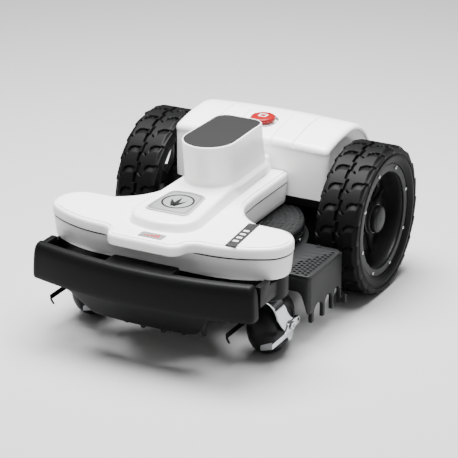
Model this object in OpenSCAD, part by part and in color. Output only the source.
// Robotic lawn mower: two powered rear wheels, two trailing front casters,
// a full width sprung bumper and a covered rotary cutting deck.
// Front is towards -Y, the machine's left side is +X, up is +Z, millimetres.
// Modules are drawn with Y counted from the rear axle; from_axle() moves them into the part's frame.

/* [Whole machine] */
// Overall length, bumper nose to rear tyre
length = 660; // [650:1:680]
// Radius of the drive tyre
tyre_r = 142.5; // [138:0.5:144]
// Width over the drive tyres
track_w = 508; // [506:1:516]
// Width of one drive tyre
tyre_w = 86; // [80:1:90]

/* [Front body] */
// Half width of the front cover over its ears
ear_x = 236; // [232:1:240]
// Height of the cover's flat top
cover_top = 234; // [230:1:238]
// Height of the joint between cover and lower body
cover_seam = 213; // [210:1:216]
// Underside of the white lower body
body_bottom = 171; // [168:1:174]
// Underside of the black chassis pan
pan_bottom = 127; // [125:1:130]
// Wall thickness of the moulded shells
wall = 3; // [2.5:0.5:3.5]

/* [Signal tower] */
// Top face of the tower
tower_top = 337; // [330:1:340]
// Half width of the tower's top
tower_x = 51; // [48:1:54]

/* [Rear housing] */
// Half length of the housing, side to side
house_x = 160; // [156:1:162]
// Underside of the white housing
house_bottom = 186; // [184:1:190]
// Crest of the housing
house_top = 308; // [304:1:310]
// Where the lid section meets the end caps
lid_x = 89; // [80:1:100]

/* [Bumper] */
// Half width of the bumper
bumper_x = 221; // [218:1:223]
// Top face of the bumper
bumper_top = 187; // [184:1:190]
// Bottom edge of the bumper
bumper_bottom = 121; // [120:1:124]
// Front arc radius of the bumper
bumper_r = 830; // [780:10:900]

/* [Casters] */
// Caster wheel radius
caster_r = 59.5; // [59:0.1:59.8]
// Caster wheel width
caster_w = 56; // [50:1:58]
// Half track of the casters
caster_x = 180; // [178:1:184]
// Trail from swivel stem to caster axle
trail = 36; // [34:0.5:36]
// Radius of the swivel stem
stem_r = 8; // [6:0.5:9]
// Radius of the caster axle
caster_axle_r = 4; // [3.5:0.5:5]

/* [Cutting deck] */
// Radius of the grille drum over the blade
drum_r = 150; // [148:0.5:151]
// Top of the drum
drum_top = 168; // [167:0.5:169]
// Top face of the deck plate
deck_top = 134; // [132:1:134]
// Half width of the deck plate
deck_x = 231; // [230:1:233]
// Ground clearance of the comb teeth
tooth_z = 33; // [30:1:38]
// Radius swept by the blade tips
blade_r = 125; // [110:1:130]

/* [Hidden] */
$fn = 64;
eps = 0.01;
run_gap = 0.05;

axle_y = length / 2 - tyre_r;
axle_z = tyre_r;
front_y = -length / 2 - axle_y;
tyre_out = track_w / 2;
tyre_in = tyre_out - tyre_w;

// Front body outline, measured from the rear axle
nose_y = -484;
nose_x = 51;
nose_r = 24;
ear_y = -447;
ear_rear_y = -322;
ear_r = 50;
front_flat_x = 99;
flange_x = 80;
cover_rear_y = -70.5;
corner_c = [ear_x - ear_r, ear_rear_y - ear_r];
front_r = front_arc_r(corner_c, ear_r, front_flat_x, ear_y);
front_c = [front_flat_x, ear_y + front_r];
step_c = [front_flat_x, ear_y - 26];
waist_c = [191, -221];

// Chassis
beam_x = 66;
beam_front_y = -418;
shelf_z = drum_top + 6;
box_z = 84;
battery_top = 150;
board_z = house_bottom + 8;

// Spine along the cover, its top sloping up towards the tower
spine_mid_y = -262;
spine_mid_z = 257.4;
spine_slope = 2.33;
tower_front_r = 56;
panel_depth = 2.5;

// Housing
lid_cut_z = 282;

// Cutting deck
blade_y = -175;
flange_r = drum_r + 8;
deck_front_y = -288;
deck_rear_y = -148;
deck_corner_r = 6;
hole_band_r = 193;
drum_wall = 3;
skirt_t = 8;
tooth_gaps = [[-265.5, -228], [-220, -190], [-182, -157]];
arch_z = 54;
arch_h = 16;
leg_y = -274.7;
corner_tooth_z = 40;
leg_foot = [227, 60];
leg_top = [213, 101];
disc_z = 60;
shaft_r = 6;
motor_r = 44;

// Casters
caster_y = -337;
stem_y = caster_y - trail;
arm_x = 38;
arm_t = 4;
fork_top = 124;
axle_end = 43.9;

// Bumper
bumper_t = 17;
bumper_c = [0, front_y + bumper_r];
guide_x = 120;
guide_r = 6;
guide_z = 150;
pan_front_y = -438;
horn_x = bumper_x - 13;
horn_w = 12;
horn_front_y = -460;
horn_z = 140;
horn_top = 177.5;
shield_z = 70;
shield_rake = 32;
shield_corner_c = [92.7, shield_z + 22];
shield_corner_r = 22;

// Controls
button_y = -14.2;
button_r = 23.5;
pocket_r = 29.5;
pocket_z = 299;
head_z = 305.6;
bezel_r = 17;
stem_push_r = 10;
spring_seat_z = 277;
collar_z = 292;
collar_r = 13.5;
keypad_z = 266;
hatch_x = 44;
hatch_rear_y = 24;
hatch_lip_z = 285;

// Wheels
rim_r = 108;
ring_x = 247;
screw_pcd_r = 101.3;
hub_r = 33;
shaft_wheel_r = 10;

function arc(c, r, a0, a1, n = 10) =
  [for (i = [0:n]) let (a = a0 + (a1 - a0) * i / n) [c[0] + r * cos(a), c[1] + r * sin(a)]];
// Radius of the arc that leaves the flat front at x0 and runs tangent into the ear's round end
function front_arc_r(c, r, x0, y0) =
  let (dx = c[0] - x0, dy = c[1] - y0) (dx * dx + dy * dy - r * r) / (2 * (dy - r));
function tangent_angle(c0, c1) = atan2(c1[1] - c0[1], c1[0] - c0[0]);
function both_sides(p) = concat(p, [for (i = [len(p) - 1:-1:0]) [-p[i][0], p[i][1]]]);

// Right half of the ears and waist, drawn d inside the cover's edge
function ear_half(d) =
  let (a = tangent_angle(front_c, corner_c))
  concat(
    arc(front_c, front_r - d, -90, a, 8),
    arc(corner_c, ear_r - d, a, 90, 14),
    arc(waist_c, 110 + d, 246, 191, 8),
    [[flange_x - d, -200], [flange_x - d, cover_rear_y]]);
// The same with the nose bulge ahead of it
function cover_half(d) =
  let (nose_c = [nose_x, nose_y + nose_r], a = tangent_angle(nose_c, step_c))
  concat(
    [[0, nose_y + d]],
    arc(nose_c, nose_r - d, -90, a, 8),
    arc(step_c, 26 + d, a + 180, 90, 8),
    ear_half(d));
function body_half(d) = concat([[0, ear_y + d]], ear_half(d));

module from_axle() { translate([0, axle_y, 0]) children(); }
module slab(z0, z1) { translate([0, 0, z0]) linear_extrude(z1 - z0) children(); }
module both() { children(); mirror([1, 0, 0]) children(); }
module along_x(x0, x1) { translate([x0, 0, 0]) rotate([90, 0, 90]) linear_extrude(x1 - x0) children(); }
module x_cyl(r, x0, x1, y, z) {
  translate([x0, y, z]) rotate([0, 90, 0]) cylinder(r = r, h = x1 - x0);
}
module y_cyl(r, y0, y1, x, z) {
  translate([x, y0, z]) rotate([-90, 0, 0]) cylinder(r = r, h = y1 - y0);
}
module z_cyl(r, z0, z1, x, y) { translate([x, y, z0]) cylinder(r = r, h = z1 - z0); }
module ring(r_out, r_in, h) {
  difference() { cylinder(r = r_out, h = h); translate([0, 0, -1]) cylinder(r = r_in, h = h + 2); }
}
module rounded(x0, x1, y0, y1, r) {
  polygon(concat(
    arc([x1 - r, y0 + r], r, -90, 0, 6), arc([x1 - r, y1 - r], r, 0, 90, 6),
    arc([x0 + r, y1 - r], r, 90, 180, 6), arc([x0 + r, y0 + r], r, 180, 270, 6)));
}

// ---------- chassis ----------

module pan_outline(d) {
  difference() {
    polygon(both_sides(body_half(9 + d)));
    translate([-300, -325 - d]) square([600, 400]);
    translate([0, blade_y]) circle(r = flange_r + 4 + d);
  }
}

// Tray under the front body, with caster bosses, guide blocks and the arms behind the bumper
module front_chassis() {
  color("#1b1b1d") from_axle() difference() {
    union() {
      difference() {
        slab(pan_bottom, body_bottom) pan_outline(0);
        slab(pan_bottom + 4, body_bottom + 1) pan_outline(wall + 1);
      }
      both() z_cyl(18, pan_bottom, body_bottom - 4, caster_x, stem_y);
      both() translate([horn_x, horn_front_y, horn_z]) cube([horn_w, 68, 28]);
      both() translate([horn_x, horn_front_y, horn_z + 20]) cube([horn_w, 40, horn_top - horn_z - 20]);
      both() translate([guide_x - 14, pan_front_y, pan_bottom]) cube([28, 40, 40]);
      slab(pan_bottom, body_bottom) rounded(6 - beam_x, beam_x - 6, beam_front_y, -366, 8);
    }
    both() z_cyl(stem_r + run_gap, pan_bottom - 1, body_bottom, caster_x, stem_y);
    both() y_cyl(guide_r + run_gap, pan_front_y - 1, pan_front_y + 41, guide_x, guide_z);
  }
}

// Beam over the blade drum that joins the front tray to the rear box
module centre_beam() {
  color("#1b1b1d") from_axle() slab(body_bottom, house_bottom - 2)
    rounded(-beam_x, beam_x, beam_front_y, -70, 8);
}

// Box under the rear housing, stepped over the drum, with a bay for each gear motor
module rear_chassis() {
  color("#161618") from_axle() difference() {
    union() {
      slab(box_z, house_bottom) rounded(-house_x + 4, house_x - 4, -12, 134, 10);
      slab(shelf_z - 3, house_bottom) rounded(-house_x + 4, house_x - 4, -69.9, 20, 10);
      both() slab(box_z, house_bottom) rounded(92, house_x - 4, -44, 20, 8);
    }
    slab(box_z + 3, house_bottom + 1) rounded(-house_x + 7, house_x - 7, -9, 131, 7);
    slab(shelf_z, house_bottom + 1) rounded(-house_x + 7, house_x - 7, -66.9, 17, 7);
    both() slab(box_z + 3, house_bottom + 1) rounded(95, house_x - 7, -41, 17, 5);
    both() x_cyl(shaft_wheel_r + 2, house_x - 12, house_x, 0, axle_z);
  }
}

module battery_pack() {
  color("#2c4a7a") from_axle() slab(box_z + 3, battery_top) rounded(-98, 98, 44, 126, 6);
}

module control_board() {
  color("#1f6b3a") from_axle() {
    slab(board_z, board_z + 2) rounded(-70, 70, -40, 60, 3);
    slab(board_z + 2, board_z + 10) rounded(-40, -12, -30, -2, 2);
    slab(board_z + 2, board_z + 14) rounded(10, 50, -26, 14, 2);
    for (x = [-60, 60]) {
      z_cyl(3, shelf_z, board_z, x, -32);
      z_cyl(3, battery_top, board_z, x, 52);
    }
  }
}

module charge_contacts() {
  color("#c9a14a") from_axle() both() translate([30, 134, 150]) cube([18, 3, 10]);
}

// ---------- white front body ----------

module lower_body() {
  color("#e9e9e7") from_axle() difference() {
    slab(body_bottom, cover_seam) polygon(both_sides(body_half(5)));
    slab(body_bottom - 1, cover_seam + 1) polygon(both_sides(body_half(5 + wall)));
  }
}

module front_cover() {
  color("#f4f4f2") from_axle() difference() {
    slab(cover_seam, cover_top) polygon(both_sides(cover_half(0)));
    slab(cover_seam - 1, cover_top - wall) intersection() {
      polygon(both_sides(cover_half(4)));
      translate([-300, -600]) square([600, 526]);
    }
    both() slab(cover_top - 2, cover_top + 1) translate([225, -377])
      rotate(60) square([7, 2.4], center = true);
  }
}

module cover_latches() {
  color("#2a2a2a") from_axle() both() slab(cover_top - 2, cover_top - 0.5)
    translate([225, -377]) rotate(60) square([7, 2.4], center = true);
}

function spine_half() = concat(
  [[0, -435.5], [12, -434.5]], arc([24, -388], 42.5, -75, 0, 7),
  [[61, -314], [57.5, -262], [52.5, -180], [47.5, -76]]);

module spine_top_cut() {
  translate([-150, spine_mid_y, spine_mid_z]) rotate([spine_slope, 0, 0])
    translate([0, -300, 0]) cube([300, 600, 100]);
}

function tower_half(s) = concat(
  arc([0, tower_front_r - 280 - s], tower_x + s / 2, -90, -8, 10),
  [[tower_x - 4 + s / 2, -150]], arc([tower_x - 29 + s / 2, -122], 26, 0, 90, 6), [[0, -96]]);

module signal_tower() {
  color("#f4f4f2") from_axle() difference() {
    union() {
      difference() {
        slab(cover_top, 290) polygon(both_sides(spine_half()));
        spine_top_cut();
      }
      hull() {
        slab(255, 256) translate([0, 12]) polygon(both_sides(tower_half(1)));
        slab(tower_top - 1, tower_top) polygon(both_sides(tower_half(0)));
      }
    }
    slab(tower_top - panel_depth, tower_top + 1) translate([0, -188]) scale(0.95) translate([0, 188])
      polygon(both_sides(tower_half(0)));
    slab(cover_top - 1, tower_top - 6) translate([0, -176]) scale(0.9) translate([0, 188])
      polygon(both_sides(tower_half(0)));
  }
}

module tower_panel() {
  color("#5b5b5d") from_axle() slab(tower_top - panel_depth, tower_top - 0.5)
    translate([0, -188]) scale(0.945) translate([0, 188]) polygon(both_sides(tower_half(0)));
}

// z of the sloped spine top at a given y
function spine_z(y) = spine_mid_z + (y - spine_mid_y) * tan(spine_slope);

module emblem_pad() {
  color("#c8c9cb") from_axle() translate([0, -347, spine_z(-347) + eps]) rotate([spine_slope, 0, 0])
    linear_extrude(3) polygon(both_sides(concat(
      [[0, -49]], arc([31, -37], 12, -90, 0, 6), [[40, 2]], arc([18, 31], 18, 0, 90, 6), [[0, 49]])));
}

module status_badge() {
  color("#8f9194") from_axle() translate([10, -458.3, cover_top]) linear_extrude(1)
    rounded(-23.5, 23.5, -10.7, 10.7, 2);
}

module side_band() {
  color("#3a3a3c") from_axle() translate([147, -383.3, cover_top]) rotate(4.7)
    linear_extrude(0.8) rounded(-10.2, 10.2, -54, 54, 1);
}

// ---------- rear housing ----------

// Side view of the housing: upright front, domed top, sloping back
function house_profile(d) = concat(
  [[-70 + d, house_bottom]],
  arc([-58, house_top - 24.4], 12 - d, 180, 105.3, 5),
  arc([34, house_top - 360], 360 - d, 104, 90, 6),
  arc([34, house_top - 104], 104 - d, 82, 12, 10),
  [[138 - d, house_bottom]]);

module house_solid(x0, x1, d) { along_x(x0, x1) polygon(house_profile(d)); }
module above_cut() { translate([-300, -200, lid_cut_z]) cube([600, 500, 100]); }
module hatch_opening(d) {
  translate([-hatch_x + d, -100, hatch_lip_z + d]) cube([2 * (hatch_x - d), 100 + hatch_rear_y - d, 60]);
}

module rear_shell() {
  color("#ededeb") from_axle() difference() {
    house_solid(-house_x, house_x, 0);
    above_cut();
    translate([0, 0, -1]) house_solid(-house_x + wall, house_x - wall, wall);
    hatch_opening(0);
  }
}

module rear_lid() {
  color("#f6f6f4") from_axle() difference() {
    intersection() { house_solid(-lid_x, lid_x, 0); above_cut(); }
    house_solid(-lid_x - 1, lid_x + 1, wall);
    hatch_opening(0);
  }
}

module housing_end_caps() {
  color("#f6f6f4") from_axle() both() difference() {
    intersection() { house_solid(lid_x, house_x, 0); above_cut(); }
    house_solid(lid_x - 1, house_x - wall, wall);
  }
}

module keypad_panel() {
  color("#3d3f43") from_axle() {
    slab(keypad_z, keypad_z + 3) rounded(-hatch_x + 4, hatch_x - 4, -60, hatch_rear_y - 3, 4);
    for (i = [-1:1], j = [0:2]) slab(keypad_z + 3, keypad_z + 5)
      translate([14 * i + 14, -48 + 13 * j]) rounded(-5, 5, -4.5, 4.5, 2);
    both() slab(shelf_z, keypad_z) rounded(31, 39, -54, -46, 2);
  }
}

module display_window() {
  color("#7d95a5") from_axle() slab(keypad_z + 3, keypad_z + 4) rounded(-38, -12, -50, -12, 2);
}

module control_hatch() {
  color("#f6f6f4") from_axle() difference() {
    union() {
      intersection() {
        difference() { house_solid(-hatch_x + 0.5, hatch_x - 0.5, 0); house_solid(-100, 100, wall); }
        hatch_opening(0.5);
      }
      z_cyl(pocket_r + 2, pocket_z - 3, pocket_z + 3, 0, button_y);
    }
    z_cyl(pocket_r, pocket_z, 330, 0, button_y);
    z_cyl(bezel_r + 0.02, 250, 330, 0, button_y);
  }
}

// Cup that hangs in the hatch: guides the button stem and seats its spring
module stop_bezel() {
  color("#f6f6f4") from_axle() translate([0, button_y, 0]) difference() {
    union() {
      z_cyl(bezel_r, 274, head_z - 4.1, 0, 0);
      z_cyl(bezel_r + 3, pocket_z, pocket_z + 2.5, 0, 0);
    }
    z_cyl(stem_push_r + run_gap, spring_seat_z, 330, 0, 0);
    z_cyl(collar_r + 0.5, spring_seat_z, collar_z + 4, 0, 0);
  }
}

module stop_button() {
  color("#c8202a") from_axle() translate([0, button_y, 0]) {
    z_cyl(stem_push_r, collar_z, head_z + 1, 0, 0);
    z_cyl(collar_r, collar_z, collar_z + 2, 0, 0);
    translate([0, 0, head_z]) rotate_extrude() polygon([[0, 0], [22, 0], [button_r, 1.5],
      [button_r, 5], [22.5, 7], [15, 8.4], [0, 9]]);
  }
}

module stop_spring() {
  color("silver") from_axle() translate([0, button_y, spring_seat_z + 0.1])
    ring(12.5, 9.5, collar_z - spring_seat_z - 0.2);
}

// ---------- bumper ----------

module bumper_plan(d) {
  intersection() {
    difference() {
      translate(bumper_c) circle(r = bumper_r - d, $fn = 360);
      translate(bumper_c) circle(r = bumper_r - bumper_t + d, $fn = 360);
    }
    translate([0, -480]) rounded(-bumper_x + d, bumper_x - d, -60, 60, 14);
  }
}

module front_bumper() {
  color("#202022") from_axle() union() {
    slab(bumper_bottom, bumper_top) bumper_plan(0);
    slab(150, bumper_top - 1) rounded(-66, 66, -505, -461, 4);
    both() translate([guide_x - 14, -500, guide_z - 14]) cube([28, 10, 28]);
  }
}

// Curved shield raked back under the bumper, with rounded lower corners
module shield_cone(d) {
  translate([bumper_c[0], bumper_c[1], shield_z])
    cylinder(r1 = bumper_r - 5 - shield_rake - d, r2 = bumper_r - 5 - d,
      h = bumper_bottom - shield_z, $fn = 360);
}
module bumper_shield() {
  color("#1c1c1e") from_axle() intersection() {
    difference() { shield_cone(0); shield_cone(6); }
    translate([0, -430, 0]) rotate([90, 0, 0]) linear_extrude(100)
      polygon(both_sides(concat([[0, shield_z]], arc(shield_corner_c, shield_corner_r, -90, -38, 6),
        [[134.5, 110], [143, bumper_bottom]])));
  }
}

module bumper_guides() {
  color("#9a9ca0") from_axle() both() {
    y_cyl(guide_r, -490, -400, guide_x, guide_z);
    y_cyl(guide_r + 3, -394, -391, guide_x, guide_z);
    y_cyl(guide_r - 1, -400, -394, guide_x, guide_z);
  }
}

module bumper_springs() {
  color("#2b2b2b") from_axle() both() translate([guide_x, -481, guide_z]) rotate([-90, 0, 0])
    ring(12, guide_r + 0.4, 42.5);
}

// ---------- cutting deck ----------

module at_blade(z) { translate([0, blade_y, z]) children(); }

module deck_drum() {
  color("#2f3032") from_axle() difference() {
    at_blade(deck_top) difference() {
      cylinder(r = drum_r, h = drum_top - deck_top);
      translate([0, 0, -1]) cylinder(r = drum_r - drum_wall, h = drum_top - deck_top - 2);
    }
    at_blade(deck_top + 10) for (i = [0:35]) rotate(i * 10 + 5)
      translate([drum_r - 6, -4, 0]) cube([14, 8, 14]);
    at_blade(drum_top - 3.5) for (k = [0:3], i = [0:11 + 4 * k])
      rotate(i * 360 / (12 + 4 * k)) translate([70 + 22 * k, -8, 0]) cube([5, 16, 5]);
  }
}

// Cup for the blade motor, hung under the drum's top on six ribs
module motor_cradle() {
  color("#2f3032") from_axle() {
    at_blade(deck_top - 14) ring(motor_r + 6, motor_r + run_gap, drum_top - drum_wall - deck_top + 14);
    at_blade(drum_top - drum_wall - 3) for (i = [0:5]) rotate(i * 60 + 15)
      translate([motor_r + 5, -3, 0]) cube([drum_r - drum_wall - motor_r - 5.5, 6, 3]);
  }
}

function deck_half(d) = let (c = max(deck_corner_r, d + 1)) concat(
  [[0, deck_front_y + d], [deck_x - 60, deck_front_y + d]],
  arc([deck_x - c, deck_front_y + c], c - d, -90, 0, 4),
  [[deck_x - d, -236]],
  arc([deck_x - 19, deck_rear_y - 16], 16 - d, 0, 90, 5),
  [[deck_x - 80, deck_rear_y - d], [0, deck_rear_y - d]]);
module deck_outline(d) { polygon(both_sides(deck_half(d))); }

// Flat flange around the drum with a wing on each side, perforated in a band along its edge
module deck_plate() {
  color("#3a3b3d") from_axle() difference() {
    slab(deck_top - 4, deck_top) union() {
      deck_outline(0);
      translate([0, blade_y]) circle(r = flange_r);
    }
    at_blade(deck_top - 5) cylinder(r = drum_r - 8, h = 6);
    both() for (i = [0:5], j = [0:12]) let (x = 220 - 8.4 * i, y = -280 + 10.3 * j + 5.15 * (i % 2))
      if (y < deck_rear_y - 10 && norm([x, y - blade_y]) > hole_band_r + 0.4 * max(0, y + 222))
        z_cyl(3.2, deck_top - 5, deck_top + 1, x, y, $fn = 16);
  }
}

// Upright wall around one wing, cut into teeth; its front leg tapers to leave the caster room
module skirt_teeth() {
  difference() {
    union() {
      slab(tooth_z, deck_top - 4) difference() {
        deck_outline(0);
        deck_outline(skirt_t);
        translate([-300, -400]) square([300 + 168, 400]);
      }
      translate([deck_x - 8, deck_rear_y - 8, tooth_z + 1]) cube([19, 5, 18]);
    }
    for (g = tooth_gaps) along_x(150, 260) polygon(concat([[g[0], 0]],
      [for (t = [180:-22.5:0]) [(g[0] + g[1] + (g[1] - g[0]) * cos(t)) / 2, arch_z + arch_h * sin(t)]],
      [[g[1], 0]]));
    translate([150, leg_y, 0]) cube([100, tooth_gaps[0][0] - leg_y + eps, corner_tooth_z]);
    translate([0, leg_y, 0]) rotate([90, 0, 0]) linear_extrude(60) polygon([[150, 0], [260, 0],
      [260, leg_foot[1]], leg_foot, leg_top, [150, leg_top[1]]]);
  }
}
module left_skirt() { color("#37383a") from_axle() skirt_teeth(); }
module right_skirt() { color("#37383a") from_axle() mirror([1, 0, 0]) skirt_teeth(); }

// Curved row of fingers behind the shield
module front_comb() {
  color("#242426") from_axle() intersection() {
    union() {
      slab(pan_bottom - 20, pan_bottom) difference() {
        translate([0, -230]) circle(r = 216);
        translate([0, -230]) circle(r = 206);
      }
      for (a = [-25.5, -15.8, -5.6, 5.6, 15.8, 25.5]) translate([0, -230, 45]) rotate(a - 90)
        translate([206, -5, 0]) cube([10, 10, pan_bottom - 50]);
    }
    translate([-100, -480, 40]) cube([200, 100, 100]);
  }
}

module blade_motor() {
  color("#7c7e82") from_axle() at_blade(0) difference() {
    union() {
      translate([0, 0, 92]) cylinder(r = motor_r, h = 70);
      translate([0, 0, 82]) cylinder(r = 18, h = 12);
    }
    translate([0, 0, 78]) cylinder(r = shaft_r + run_gap, h = 60);
  }
}

module blade_shaft() {
  color("#c0c0c4") from_axle() z_cyl(shaft_r, disc_z - 12, 125, 0, blade_y);
}

// Four pointed star blade with a round centre
module blade_disc() {
  color("#b9bbc0") from_axle() at_blade(disc_z) difference() {
    linear_extrude(4) union() {
      circle(r = 48);
      for (i = [0:3]) rotate(i * 90) polygon([[0, -34], [60, -20], [blade_r - 6, -12],
        [blade_r, 0], [blade_r - 6, 12], [60, 20], [0, 34]]);
    }
    translate([0, 0, -1]) cylinder(r = shaft_r + 0.02, h = 6);
  }
}

module blade_nut() {
  color("#8a8c90") from_axle() at_blade(disc_z - 10) difference() {
    union() { cylinder(r = 13, h = 6, $fn = 6); translate([0, 0, 6]) cylinder(r = 16, h = 4); }
    translate([0, 0, -1]) cylinder(r = shaft_r + 0.02, h = 12);
  }
}

module deck_screws() {
  color("#9a9ca0") from_axle() both() for (y = [deck_rear_y - 7, deck_front_y + 7])
    z_cyl(4, deck_top, deck_top + 2.5, 186, y);
}

// ---------- drive wheels ----------

module gear_motor() {
  difference() {
    union() {
      x_cyl(34, 97, 142, 0, axle_z);
      x_cyl(24, 142, house_x - 7 - eps, 0, axle_z);
      x_cyl(22, 22, 98, 16, axle_z);
    }
    x_cyl(shaft_wheel_r + run_gap, 112, house_x, 0, axle_z);
  }
}
module left_gear_motor() { color("#6f7276") from_axle() gear_motor(); }
module right_gear_motor() { color("#6f7276") from_axle() mirror([1, 0, 0]) gear_motor(); }

module wheel_frame() { translate([0, 0, axle_z]) rotate([90, 0, 90]) children(); }

// Tyre: tread crown with shoulders, revolved about the axle
module tyre() {
  wheel_frame() rotate_extrude($fn = 96) polygon([
    [rim_r, tyre_in + 8], [rim_r + 12, tyre_in], [tyre_r - 12, tyre_in + 2], [tyre_r - 2, tyre_in + 5],
    [tyre_r, tyre_in + 12], [tyre_r, tyre_out - 12], [tyre_r - 2, tyre_out - 3],
    [tyre_r - 12, tyre_out - 0.5], [rim_r + 8, tyre_out], [rim_r, tyre_out - 6]]);
}

// Rim: barrel, dished disc with five windows
module rim() {
  wheel_frame() difference() {
    rotate_extrude($fn = 96) polygon([
      [rim_r - 6, tyre_in + 8], [rim_r, tyre_in + 8], [rim_r, ring_x - 4], [92, ring_x - 4],
      [92, ring_x - 10], [rim_r - 6, ring_x - 12], [rim_r - 6, 200], [88, 196], [hub_r, 196],
      [hub_r, 188], [90, 188], [rim_r - 6, 192]]);
    for (i = [0:4]) rotate(i * 72 + 18) translate([62, 0, 180]) cylinder(r = 16, h = 24, $fn = 24);
  }
}

module rim_ring() {
  wheel_frame() difference() {
    translate([0, 0, ring_x - 4]) cylinder(r = rim_r - 0.5, h = 4);
    translate([0, 0, ring_x - 5]) cylinder(r = 93, h = 6);
  }
}

module ring_screws() {
  for (i = [0:7]) translate([ring_x, screw_pcd_r * cos(62.2 - 45 * i),
    axle_z + screw_pcd_r * sin(62.2 - 45 * i)]) rotate([0, 90, 0]) cylinder(r = 3.2, h = 2);
}

module hub() {
  wheel_frame() {
    translate([0, 0, 170]) cylinder(r = 26, h = 59.9);
    translate([0, 0, 186]) cylinder(r = hub_r, h = 20);
    translate([0, 0, 114]) cylinder(r = shaft_wheel_r, h = 60);
    translate([0, 0, 170]) cylinder(r = 40, h = 10);
  }
}

module hub_cap() {
  wheel_frame() rotate_extrude() polygon([[0, 230], [26, 230], [26, 236], [23, 240],
    [14, 242.4], [0, 243]]);
}

module left_tyre() { color("#18181a") from_axle() tyre(); }
module left_rim() { color("#232426") from_axle() rim(); }
module left_rim_ring() { color("#6b6d70") from_axle() rim_ring(); }
module left_ring_screws() { color("#d0d2d5") from_axle() ring_screws(); }
module left_hub() { color("#232426") from_axle() hub(); }
module left_hub_cap() { color("#8b8d90") from_axle() hub_cap(); }
module right_tyre() { color("#18181a") from_axle() mirror([1, 0, 0]) tyre(); }
module right_rim() { color("#232426") from_axle() mirror([1, 0, 0]) rim(); }
module right_rim_ring() { color("#6b6d70") from_axle() mirror([1, 0, 0]) rim_ring(); }
module right_ring_screws() { color("#d0d2d5") from_axle() mirror([1, 0, 0]) ring_screws(); }
module right_hub() { color("#232426") from_axle() mirror([1, 0, 0]) hub(); }
module right_hub_cap() { color("#8b8d90") from_axle() mirror([1, 0, 0]) hub_cap(); }

// ---------- casters, drawn at the +X side ----------

// Bent strap fork: stem, arched top and two raked arms down to the axle
module fork() {
  difference() {
    union() {
      z_cyl(stem_r, fork_top, body_bottom - 6, caster_x, stem_y);
      z_cyl(15, fork_top, pan_bottom - 0.3, caster_x, stem_y);
      intersection() {
        translate([caster_x, 0, 0]) rotate([90, 0, 0]) translate([0, 0, 300]) linear_extrude(140)
          difference() {
            translate([0, fork_top - 30]) rounded(-arm_x - 1, arm_x + 1, -100, 30, 26);
            translate([0, fork_top - 30]) rounded(-arm_x + arm_t - 1, arm_x - arm_t + 1, -140, 26, 23);
            translate([-60, -40]) square([120, 85]);
          }
        along_x(caster_x - 60, caster_x + 60) polygon([[-395, 130], [-393, 104], [-385, 85],
          [-373, 70], [-348, 46], [-337, 42], [-326, 48], [-321, 60], [-324, 67], [-339, 78],
          [-349, 90], [-360, 108], [-354, 130]]);
      }
    }
    x_cyl(caster_axle_r, caster_x - 60, caster_x + 60, caster_y, caster_r);
  }
}

module caster_axle() {
  x_cyl(caster_axle_r, caster_x - axle_end, caster_x + axle_end, caster_y, caster_r);
  for (s = [0, 1]) translate([caster_x + (s == 0 ? -axle_end - 1 : axle_end - 3), caster_y, caster_r])
    rotate([0, 90, 0]) cylinder(r = 7, h = 4);
}

// Steel straps outside the arms that carry the grass scrapers: one with a wide blade, one with
// a narrow finger. Both casters carry them the same way round.
module strap(points) {
  difference() {
    along_x(arm_x + 1.2, arm_x + 2.8) polygon(points);
    x_cyl(caster_axle_r, 0, 60, caster_y, caster_r);
  }
}
module scrapers() {
  translate([caster_x, 0, 0]) {
    strap([[-412, 43], [-412, 53], [-360, 53], [-348, 66], [-326, 68], [-305, 64],
      [-305, 52], [-326, 50], [-330, 32], [-345, 32], [-352, 43]]);
    translate([arm_x - 20, -413.5, 36]) cube([22.8, 1.6, 17]);
    translate([arm_x - 8, -305, 52]) cube([10.8, 1.6, 12]);
    mirror([1, 0, 0]) {
      strap([[-430.4, 54], [-431.8, 64], [-362, 64], [-348, 68], [-326, 68], [-322, 52],
        [-345, 50], [-364, 54]]);
      along_x(arm_x - 1.2, arm_x + 2.8)
        polygon([[-431.8, 56], [-430, 56], [-421, 42.1], [-422.8, 42.1]]);
    }
  }
}

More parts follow.
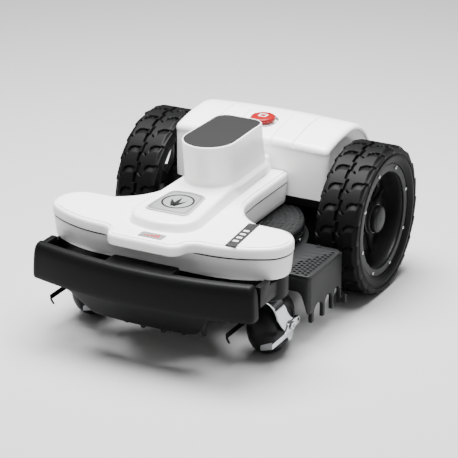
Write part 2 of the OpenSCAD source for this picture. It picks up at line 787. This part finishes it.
module caster_wheel() {
  translate([caster_x, caster_y, caster_r]) rotate([0, 90, 0]) difference() {
    rotate_extrude($fn = 72) polygon(both_flip(caster_half()));
    translate([0, 0, -40]) cylinder(r = caster_axle_r + run_gap, h = 80);
  }
}
function caster_half() = concat([[caster_r, 0]], arc([caster_r - 22, caster_w / 2 - 20], 20, 25, 90, 6),
  [[caster_r - 26, caster_w / 2], [14, caster_w / 2 - 4], [14, caster_w / 2 + 2], [0, caster_w / 2 + 2]]);
function both_flip(p) = concat(p, [for (i = [len(p) - 1:-1:1]) [p[i][0], -p[i][1]]]);

module left_fork() { color("#d9dade") from_axle() fork(); }
module left_caster_axle() { color("#c4c6ca") from_axle() caster_axle(); }
module left_scrapers() { color("#c9cacd") from_axle() scrapers(); }
module left_caster_wheel() { color("#151516") from_axle() caster_wheel(); }
module right_fork() { color("#d9dade") from_axle() mirror([1, 0, 0]) fork(); }
module right_caster_axle() { color("#c4c6ca") from_axle() mirror([1, 0, 0]) caster_axle(); }
module right_scrapers() {
  color("#c9cacd") from_axle() translate([-2 * caster_x, 0, 0]) scrapers();
}
module right_caster_wheel() { color("#151516") from_axle() mirror([1, 0, 0]) caster_wheel(); }

front_chassis();
centre_beam();
rear_chassis();
lower_body();
front_cover();
signal_tower();
tower_panel();
emblem_pad();
status_badge();
side_band();
cover_latches();
rear_shell();
rear_lid();
housing_end_caps();
keypad_panel();
display_window();
control_hatch();
stop_bezel();
stop_button();
stop_spring();
front_bumper();
bumper_shield();
bumper_guides();
bumper_springs();
deck_drum();
motor_cradle();
deck_plate();
left_skirt();
right_skirt();
front_comb();
blade_motor();
blade_shaft();
blade_disc();
blade_nut();
battery_pack();
control_board();
left_gear_motor();
right_gear_motor();
charge_contacts();
deck_screws();
left_tyre();
left_rim();
left_rim_ring();
left_ring_screws();
left_hub();
left_hub_cap();
right_tyre();
right_rim();
right_rim_ring();
right_ring_screws();
right_hub();
right_hub_cap();
left_fork();
left_caster_axle();
left_scrapers();
left_caster_wheel();
right_fork();
right_caster_axle();
right_scrapers();
right_caster_wheel();
